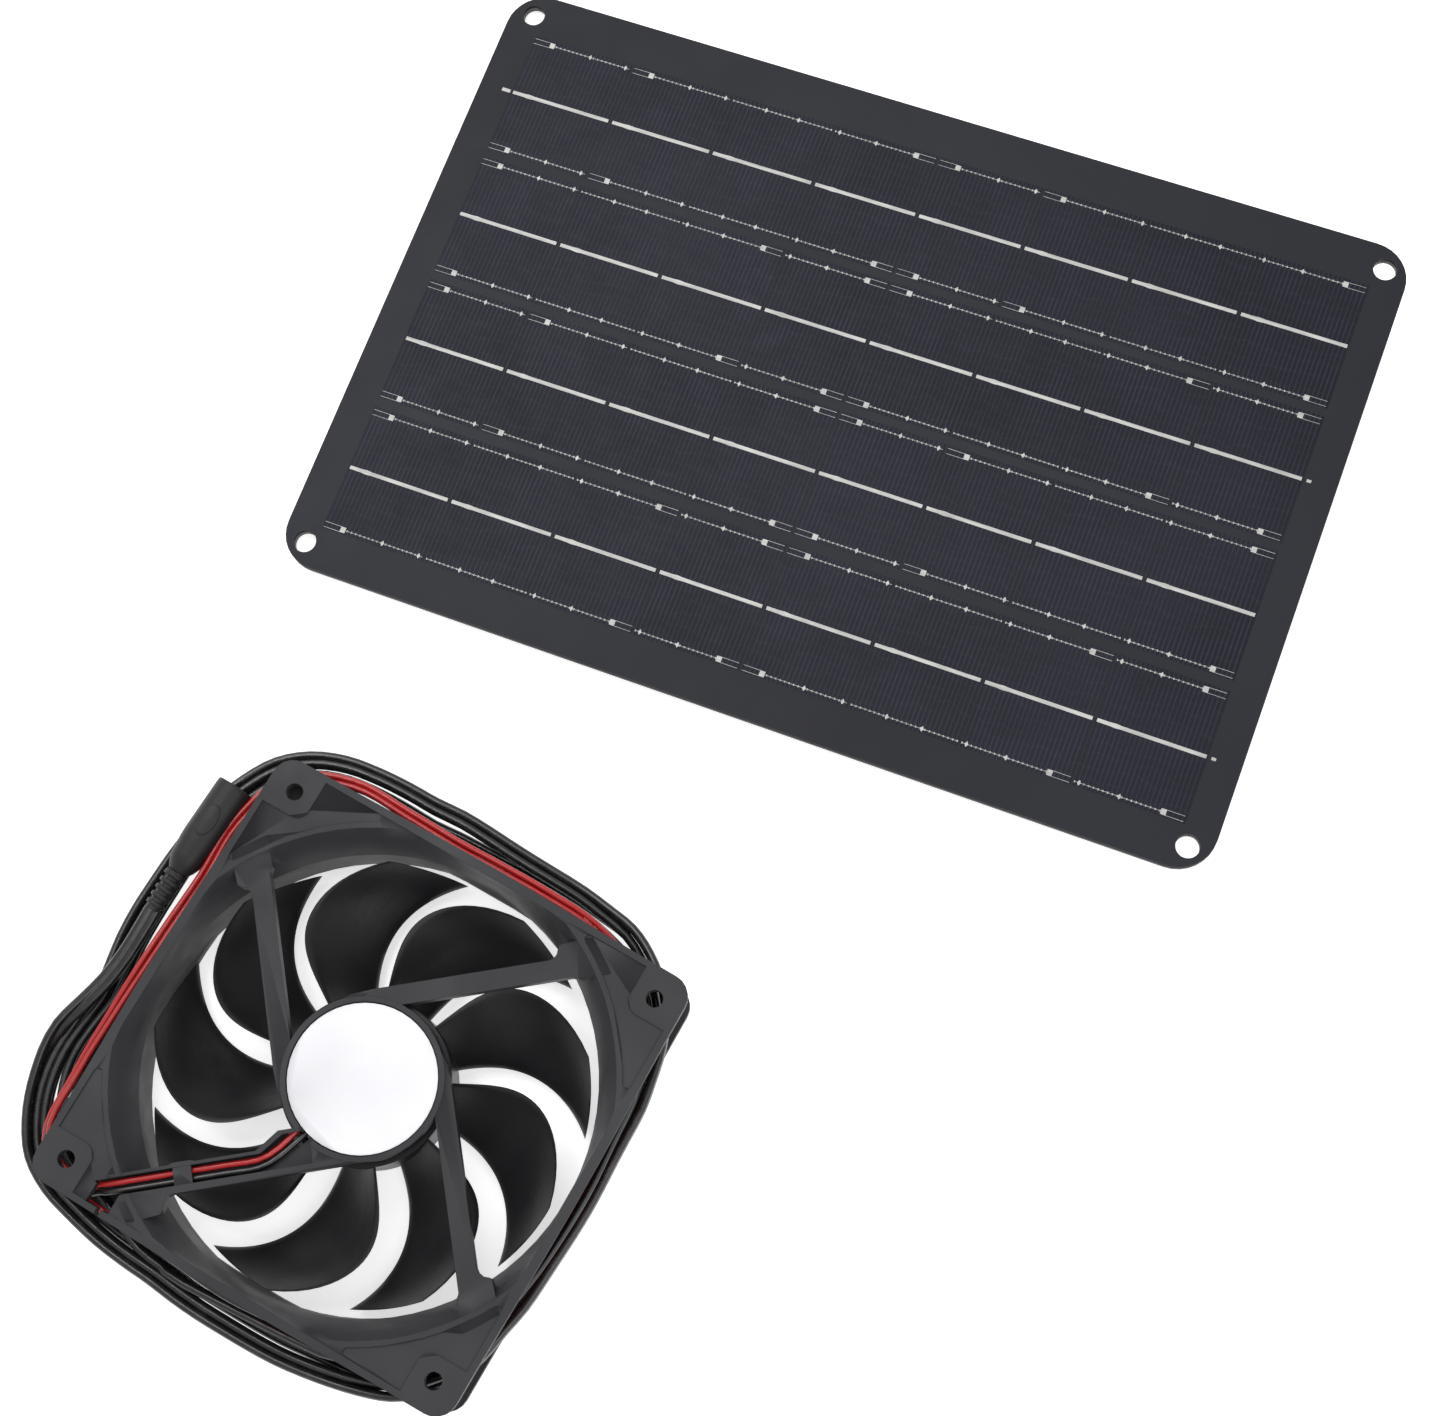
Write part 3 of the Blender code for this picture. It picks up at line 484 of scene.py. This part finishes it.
# from the last turn up to the socket's boot
CABLE_TAIL = ((-75.4, -33.8, 12.4), (-74.7, -26.2, 14.6), (-72.4, -18.5, 15.6),
              (-70.4, -11.0, 16.4), (-69.4, -3.5, 17.3), (-69.0, 3.2, 18.7), (-69.0, 9.8, 19.35))
TAIL_ROLL = 85                # degrees that the cable rolls over along its tail
ROLLED_FROM, ROLL_OVER = 0.45, 0.5          # shares of the tail: all rolled, and rolling
SOCKET_MOUTH = Vector((-67.6, 46.6, 19.4))
SOCKET_TAIL = Vector((-68.7, 20.6, 19.4))


def cable_route():
    """The flat cable's points from the splice to the socket, and its roll at each in degrees."""
    points = [splice_end(-1), Vector((31.5, -57.9, 15.8)), Vector((25.0, -61.2, 15.1))]
    for lap in CABLE_LAPS:
        rows, height = keyed(CABLE_KEYS, lap)
        degrees = -90 - lap
        points.append(polar(degrees, along_table(OUTER, degrees) - STRAND - rows * ROW, height))
    tail = [points[-1]] + [Vector(p) for p in CABLE_TAIL]
    fine = smooth_route(points + tail[1:], spacing=3.2)
    total = sum((b - a).length for a, b in zip(tail, tail[1:]))
    rolls, left = [], 0.0
    for after, place in zip([fine[-1]] + fine[::-1], fine[::-1]):
        left += (after - place).length
        share = 1 - max(0.0, left - total * ROLLED_FROM) / (total * ROLL_OVER)
        rolls.append(TAIL_ROLL * smooth_step(share))
    return fine, rolls[::-1]


def swept(name, points, rolls, section, material):
    """A section carried along points of the fan's frame, rolled at each, with closed ends."""
    count = len(section)
    rings = []
    for i, place in enumerate(points):
        ahead = points[min(i + 1, len(points) - 1)] - points[max(i - 1, 0)]
        forward = ahead.normalized()
        side = forward.cross(UP).normalized()
        above = side.cross(forward)
        turn = math.radians(rolls[i])
        c, s = math.cos(turn), math.sin(turn)
        rings += [place + side * (c * x - s * y) + above * (s * x + c * y) for x, y in section]
    faces = [tuple(range(count)), tuple(range(len(rings) - count, len(rings)))]
    for i in range(len(points) - 1):
        for k in range(count):
            n = (k + 1) % count
            faces.append((i * count + k, i * count + n, (i + 1) * count + n, (i + 1) * count + k))
    cable = mesh_of(name, rings, faces)
    return show(cable, material, BASE, FAN, 50)


def twin_section():
    """The outline of two round strands that share a thin web, one above the other."""
    outline = []
    for sign in (1, -1):
        for i in range(11):
            turn = math.radians(-60 + 30 * i)
            outline.append((sign * STRAND * math.cos(turn),
                            sign * (STRAND_APART + STRAND * math.sin(turn))))
    return outline


def grip_pads(middle):
    """Points and faces of the socket's two raised oval pads, at that height on its axis."""
    points, faces = [], []
    count, half_width, half_length = 20, 0.52, 4.6      # the width is an angle in radians
    rims = ((1.0, 4.86), (0.93, 5.12), (0.8, 5.16))     # share of the pad's size, radius
    for side in (0, math.pi):
        base = len(points)
        for size, radius in rims:
            for i in range(count):
                turn = 2 * math.pi * i / count
                bend = side + half_width * size * math.cos(turn)
                points.append((radius * math.cos(bend), radius * math.sin(bend),
                               middle + half_length * size * math.sin(turn)))
        for k in range(len(rims) - 1):
            low, high = base + k * count, base + (k + 1) * count
            for i in range(count):
                n = (i + 1) % count
                faces.append((low + i, low + n, high + n, high + i))
        top, centre = rims[-1][1], len(points)
        points.append((top * math.cos(side), top * math.sin(side), middle))
        last = centre - count
        faces += [(last + i, last + (i + 1) % count, centre) for i in range(count)]
    return points, faces


def boot_profile():
    """The outline of the socket's boot: five ribs that taper towards the cable."""
    profile = [(2.2, -0.1), (2.9, -0.1)]
    for rib in range(5):
        top, wide = -0.5 - 2.1 * rib, 3.0 - 0.12 * rib
        profile += [(wide - 0.15, top), (wide, top - 0.2), (wide, top - 0.9), (wide - 0.15, top - 1.1),
                    (1.95, top - 1.15), (1.9, top - 1.6), (1.95, top - 2.05)]
    return profile + [(1.75, -11.1), (1.0, -11.1)]


def socket_shell():
    """The socket's moulded body with two grip pads, and its ribbed boot."""
    axis = SOCKET_MOUTH - SOCKET_TAIL
    place = FAN @ axes_at(SOCKET_TAIL * MM, UP, axis.normalized())
    long = axis.length
    body = turned("socket_body", [
        (3.65, long - 8), (3.65, long - 0.3), (3.9, long), (4.6, long), (4.85, long - 0.3),
        (4.9, long - 1.2), (4.9, long - 15.5), (4.8, long - 17.5), (4.45, long - 20), (4.4, 5.0),
        (4.2, 3.4), (3.5, 1.7), (2.9, 0.7), (2.6, 0), (0.5, 0), (0.5, 8.4), (3.65, 8.4),
        (3.65, long - 8)], 64)
    show(body, RUBBER, BASE, place, 40)
    pads = show(mesh_of("socket_pads", *grip_pads(long - 11.0)), RUBBER, BASE, place, 40)
    boot = show(turned("socket_boot", boot_profile(), 48), RUBBER, BASE, place, 40)
    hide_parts("jack_body")
    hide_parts("jack_strain_relief")
    return [body, pads, boot]


def lead():
    """The two wires, the splice, the flat cable and the socket."""
    red, black = wire_route(-1), wire_route(1)
    red_wire = thread("wire_red_run", red, WIRE_RADIUS, RED)
    black_wire = thread("wire_black_run", black, WIRE_RADIUS, BLACK)
    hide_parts("lead_red", "wire_coil")
    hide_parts("lead_black")
    splice = refined("splice_sleeve", RUBBER)
    points, rolls = cable_route()
    cable = swept("cable_run", points, rolls, twin_section(), BLACK)
    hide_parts("cable_coil", "cable_tail")
    socket = socket_shell() + [refined("jack_contact_sleeve", NICKEL), refined("jack_pin", NICKEL)]


# ---------------------------------------------------------------- fan

BLADES = 9
HUB, TIP = 21.4, 55.4
ROOT = 20.6                   # the blades start inside the hub's wall
BLADE_TOP, BLADE_BOTTOM = 18.4, 4.2
BLADE_ARCH = 1.4              # how far a blade's middle hangs below the line between its edges
BLADE_HALF, THINNING = 0.8, 0.25            # half its thickness at the hub, and the loss at the tip
EDGE_SHARE, EDGE_LEFT = 0.07, 0.25          # the part over which an edge thins, and to what share
LEADING, TRAILING = 148, 119.5              # angles of the first blade's two edges at the hub
LEADING_SWEEP, TRAILING_SWEEP = 32, 24      # how far each edge has turned back at the tip


def blade_section(radius, index, steps):
    """One blade's section at a radius: an arched strip that thins at both edges."""
    reach = max(0.0, (radius - HUB) / (TIP - HUB))
    upper = LEADING - LEADING_SWEEP * reach ** 3.6
    lower = TRAILING - TRAILING_SWEEP * reach ** 2.1
    tip = max(0.0, reach - 0.8) / 0.2       # 0 to 1 over the last fifth, where corners round off
    top, bottom = BLADE_TOP - 1.4 * tip ** 2, BLADE_BOTTOM + 1.8 * tip ** 2
    front, back = [], []
    for i in range(steps + 1):
        share = i / steps
        turn = math.radians(upper + (lower - upper) * share + 360 / BLADES * index)
        height = top + (bottom - top) * share - BLADE_ARCH * math.sin(math.pi * share)
        edge = min(1.0, min(share, 1 - share) / EDGE_SHARE)
        half = (BLADE_HALF - THINNING * reach) * max(EDGE_LEFT, math.sqrt(edge * (2 - edge)))
        place = (radius * math.cos(turn), radius * math.sin(turn))
        front.append((*place, height + half))
        back.append((*place, height - half))
    return front + back[::-1]


def impeller():
    """The hub and its nine blades, each blade lofted finely from hub to tip."""
    profile = [(0, 3.2), (20.1, 3.2), (20.1, 19.4), (21.2, 19.4), (21.4, 19.2), (21.4, 2.9),
               (21.2, 2.3), (20.9, 1.9), (20.4, 1.6), (19.9, 1.5), (0, 1.5)]
    points, faces = lathe(profile, 144)
    steps, spans = 28, 30
    radii = [ROOT + (TIP - ROOT) * i / spans for i in range(spans + 1)]
    for index in range(BLADES):
        rings = [blade_section(radius, index, steps) for radius in radii]
        count, base = len(rings[0]), len(points)
        points += [p for ring in rings for p in ring]
        for i in range(len(rings) - 1):
            for k in range(count):
                n = (k + 1) % count
                a, b = base + i * count, base + (i + 1) * count
                faces.append((a + k, a + n, b + n, b + k))
        faces.append(tuple(base + k for k in range(count)))
        faces.append(tuple(base + (len(rings) - 1) * count + k for k in range(count)))
    return mesh_of("impeller_shown", points, faces)


def fan():
    """The frame, the impeller and the label."""
    refined("fan_frame", FRAME_PLASTIC, angle=18)
    wheel = show(impeller(), BLADE_PLASTIC, ROTOR, FAN, 38)
    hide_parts("impeller")
    label = refined("fan_label", label_paper())


def inner_parts():
    """Better finishes for the pieces inside the hub and under the panel."""
    finishes = {
        STEEL: ["bearing_upper", "bearing_lower", "stator_core", "rotor_yoke", "shaft",
                "retaining_ring", "preload_spring"] + [f"lid_screw_{i}" for i in range(1, 5)],
        BRASS: ["bearing_tube", "rotor_bush"],
        COPPER: [f"winding_{i}" for i in range(1, 5)],
        WHITE_NYLON: ["bobbin_upper", "bobbin_lower", "terminal_block"],
        EPOXY: ["driver_chip", "blocking_diode"],
        FERRITE: ["magnet_ring"],
        BOX_PLASTIC: ["junction_box_base", "junction_box_lid", "cable_gland"],
        board_green(): ["circuit_board"],
    }
    for material, nodes in finishes.items():
        for node in nodes:
            mesh = frame["nodes"][node].data
            mesh.materials.clear()
            mesh.materials.append(material)


# ---------------------------------------------------------------- panel

ROWS = (58.4, 19.45, -19.6, -59.1)          # each string's ribbon, across the panel
CELLS = 8
CELL_START = -119.3
CELL_PITCH = 30.0
CELL_LENGTH = 28.8
CELL_HALF = 18.35                           # half a string's width
BUSBARS = (16.7, -17.1)                     # the thin lines either side of a ribbon
RIBBON_HALF = 0.5
FINGER = 1.25                               # from one silver finger to the next
PRINT, TIN = 0.04, 0.08                     # heights of the printed metal and of the ribbons
LINE_HALF = 0.05
TICK, PAD, DIAMOND = (0.14, 0.26), (0.72, 0.78), (0.5, 0.8)     # halves along and across
FORK = 0.75                                 # from the busbar to each prong
SWELL = 0.14                                # how much a ribbon widens over its solder points
FIRST_LINK, LAST_LINK = (-122.4, -119.9), (121.0, 122.2)        # ends of the links past the cells
LINK_HALF = 0.4
# the cells of each row: L has its pad and forked end on the left, R on the right, M has neither
KINDS = ("LLMRLLMR", "LMRRLMRR", "LLMRLLMR", "LMRRLMRR")
# places along a cell of its pads and of its diamonds
MARKS = {"L": ((5.4,), (17.0, 27.6)), "M": ((), (9.6, 19.2)), "R": ((23.4,), (1.2, 11.8))}


def film_face():
    """The panel's satin film: near-black with a slow blue-grey change and a fine bump."""
    paint = Paint("panel_film", (0.026, 0.027, 0.034), 0.5, specular=0.09)
    cloud = paint.noise(9, 3)
    paint.colour(paint.ramp(cloud, [(0.3, (0.022, 0.0228, 0.0275)), (0.7, (0.030, 0.031, 0.038))]))
    paint.rough(paint.spread(paint.noise(70, 4), 0.38, 0.50))
    return paint.bump(paint.noise(1500, 2), 0.01).material


def cell_face():
    """Silicon under the film: close upright fingers and faint level waves."""
    paint = Paint("cell_face", (0.018, 0.020, 0.028), 0.5, specular=0.09)
    split = paint.add("ShaderNodeSeparateXYZ")
    paint.links.new(paint.place, split.inputs[0])
    phase = paint.math("MULTIPLY", split.outputs["X"], 2 * math.pi / (FINGER * MM))
    fingers = paint.spread(paint.math("SINE", phase), 0.0, 1.0, 0.35, 1.0)
    patchy = paint.spread(paint.noise(120, 3), 0.35, 1.0)
    lines = paint.math("MULTIPLY", fingers, patchy)
    cloud = paint.noise(16, 2)
    ground = paint.ramp(cloud, [(0.35, (0.0135, 0.0145, 0.0195)), (0.65, (0.0185, 0.0195, 0.027))])
    wave = paint.add("ShaderNodeTexWave", wave_type="BANDS", bands_direction="Y")
    wave.inputs["Scale"].default_value = 90
    wave.inputs["Distortion"].default_value = 6
    wave.inputs["Detail"].default_value = 2
    wave.inputs["Detail Scale"].default_value = 1.5
    paint.links.new(paint.place, wave.inputs["Vector"])
    ripple = paint.spread(wave.outputs["Fac"], 0.0, 0.08, 0.93, 1.0)
    lit = paint.mix(lines, ground, (0.034, 0.035, 0.058))
    paint.colour(paint.mix(ripple, lit, (0.06, 0.06, 0.08)))
    paint.rough(paint.spread(paint.noise(200, 3), 0.38, 0.48))
    return paint.bump(lines, 0.01, 0.5).material


def tinned():
    """Tinned copper under the film: pale, slightly mottled."""
    paint = Paint("tinned_ribbon", (0.56, 0.56, 0.54), 0.45)
    mottle = paint.noise(500, 4, stretch=(0.4, 2, 1))
    paint.colour(paint.ramp(mottle, [(0.3, (0.38, 0.38, 0.37)), (0.7, (0.56, 0.56, 0.54))]))
    paint.rough(paint.spread(paint.noise(700, 3), 0.36, 0.55))
    return paint.bump(mottle, 0.02).material


def slab(points, faces, outline, low, high):
    """Adds a thin slab with that outline, open underneath, to the lists of points and faces."""
    count, start = len(outline), len(points)
    points += [(x, y, high) for x, y in outline] + [(x, y, low) for x, y in outline]
    faces.append(tuple(start + i for i in range(count)))
    for i in range(count):
        j = (i + 1) % count
        faces.append((start + i, start + count + i, start + count + j, start + j))


def bar(x0, x1, y, half):
    """The outline of a bar along X."""
    return [(x0, y - half), (x1, y - half), (x1, y + half), (x0, y + half)]


def ribbon_outline(x0, x1, y):
    """A ribbon piece: cut square, a touch wider over its solder points."""
    half = RIBBON_HALF
    swell = x0 + (x1 - x0) * 0.17
    return [(x0, y - half), (swell - 1.6, y - half), (swell, y - half - SWELL),
            (swell + 1.6, y - half), (x1, y - half), (x1, y + half), (swell + 1.6, y + half),
            (swell, y + half + SWELL), (swell - 1.6, y + half), (x0, y + half)]


def cell_metal(points, faces, kind, x0, y, low, high):
    """The thin dotted line across a cell, with its pad, diamonds and forked end."""
    pads, diamonds = MARKS[kind]
    x1 = x0 + CELL_LENGTH
    start = x0 + (pads[0] if kind == "L" else 0)
    end = x0 + pads[0] if kind == "R" else x1
    slab(points, faces, bar(start, end, y, LINE_HALF), low, high)
    ticks = int((end - start) / FINGER)
    for i in range(ticks + 1):
        x = start + FINGER * i
        slab(points, faces, bar(x - TICK[0], x + TICK[0], y, TICK[1]), low, high)
    raised = high + 0.01
    for place in pads:
        x = x0 + place
        slab(points, faces, bar(x - PAD[0], x + PAD[0], y, PAD[1]), low, raised)
    for place in diamonds:
        x, (along, across) = x0 + place, DIAMOND
        slab(points, faces, [(x - along, y), (x, y - across), (x + along, y), (x, y + across)],
             low, raised)
    if kind != "M":
        fork = (x0, x0 + pads[0]) if kind == "L" else (x0 + pads[0], x1)
        for side in (-FORK, FORK):
            slab(points, faces, bar(*fork, y + side, LINE_HALF), low, high)


def row_cells(y):
    """Points and faces of one string's slices of silicon."""
    points, faces = [], []
    for cell in range(CELLS):
        x0 = CELL_START + CELL_PITCH * cell
        slab(points, faces, bar(x0 - 0.2, x0 + CELL_LENGTH + 0.6, y, CELL_HALF),
             PANEL_THICK - 0.05, PANEL_THICK + 0.02)
    return points, faces


def row_metal(row, y, kinds):
    """Points and faces of one string's thin lines and ribbons, with the links at its ends."""
    points, faces = [], []
    top = PANEL_THICK
    for cell, kind in enumerate(kinds):
        x0 = CELL_START + CELL_PITCH * cell
        for line in BUSBARS:
            cell_metal(points, faces, kind, x0, y + line, top, top + PRINT)
        slab(points, faces, ribbon_outline(x0 + 0.2, x0 + CELL_PITCH - 1.0, y), top, top + TIN)
    if row == 0:
        slab(points, faces, bar(*FIRST_LINK, y, RIBBON_HALF), top, top + TIN)
    if row in (1, 3):
        slab(points, faces, bar(*LAST_LINK, y, LINK_HALF), top, top + TIN)
    return points, faces


def panel():
    """The film and backing, and each string's silicon and metal."""
    refined("front_film", film_face(), angle=10)
    refined("panel_backing", BOX_PLASTIC, angle=40)
    silicon, tin = cell_face(), tinned()
    for row, (y, kinds) in enumerate(zip(ROWS, KINDS)):
        cells = show(mesh_of(f"cells_row_{row + 1}", *row_cells(y)), silicon, BASE, PANEL)
        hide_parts(f"cell_string_{row + 1}")
        show(mesh_of(f"ribbons_row_{row + 1}", *row_metal(row, y, kinds)), tin, BASE, PANEL)


# ---------------------------------------------------------------- stage

AMBIENT = 0.62                # the glow of the floor and of the white around it
FLOOR_HALF = 4000
FLOOR_GAP = 0.0002            # metres, between the object and the floor
SENSOR = 36                   # millimetres
FOCAL, PHOTO_WIDTH = 2455, 1435             # both in pixels
EYE = (0.0574, -0.1272, 0.6308)
EYE_TURN = (13.21, 0.75, 20.84)             # degrees about X, Y and Z


def area_light(name, place, target, size, power):
    """A soft rectangular light that faces its target."""
    data = bpy.data.lights.new(name, "AREA")
    data.shape = "RECTANGLE"
    data.size, data.size_y = size
    data.energy = power
    lamp = bpy.data.objects.new(name, data)
    scene.collection.objects.link(lamp)
    lamp.location = place
    lamp.rotation_euler = (Vector(target) - Vector(place)).to_track_quat("-Z", "Y").to_euler()


def stage():
    """A pale floor with a faint glow, a white surrounding, and three soft lights."""
    corners = [(x * FLOOR_HALF, y * FLOOR_HALF, 0) for x, y in ((-1, -1), (1, -1), (1, 1), (-1, 1))]
    floor = mesh_of("floor", corners, [(0, 1, 2, 3)])
    scene.collection.objects.link(floor)
    floor.location.z = cad_box[0][2] - FLOOR_GAP
    paint = Paint("floor_white", (0.90, 0.90, 0.90), 0.8)
    paint.colour(paint.ramp(paint.noise(3, 2), [(0.3, (0.89, 0.89, 0.89)),
                                                (0.7, (0.91, 0.91, 0.91))]))
    paint.set("Emission Color", (1, 1, 1, 1))
    paint.set("Emission Strength", AMBIENT)
    floor.data.materials.append(paint.material)
    world = bpy.data.worlds.new("soft_white")
    scene.world = world
    world.use_nodes = True
    background = world.node_tree.nodes["Background"]
    background.inputs["Color"].default_value = (1, 1, 1, 1)
    background.inputs["Strength"].default_value = AMBIENT
    area_light("key", (-0.7, 0.5, 1.3), (0, 0, 0), size=(1.0, 1.0), power=11.0)
    area_light("fill", (0.9, -0.6, 1.2), (0, 0, 0), size=(1.2, 1.2), power=7.0)
    area_light("glint", (-0.237, -0.047, 0.8), (-0.06, -0.09, 0.02), size=(0.07, 0.07), power=0.35)


def camera():
    """The photograph's viewing angle."""
    data = bpy.data.cameras.new("photo_view")
    data.sensor_width = SENSOR
    data.lens = SENSOR * FOCAL / PHOTO_WIDTH
    data.clip_start = 0.01
    eye = bpy.data.objects.new("photo_view", data)
    scene.collection.objects.link(eye)
    eye.location = EYE
    eye.rotation_euler = [math.radians(angle) for angle in EYE_TURN]
    scene.camera = eye
    scene.view_settings.view_transform = "Standard"


camera()
lead()
fan()
inner_parts()
panel()
stage()
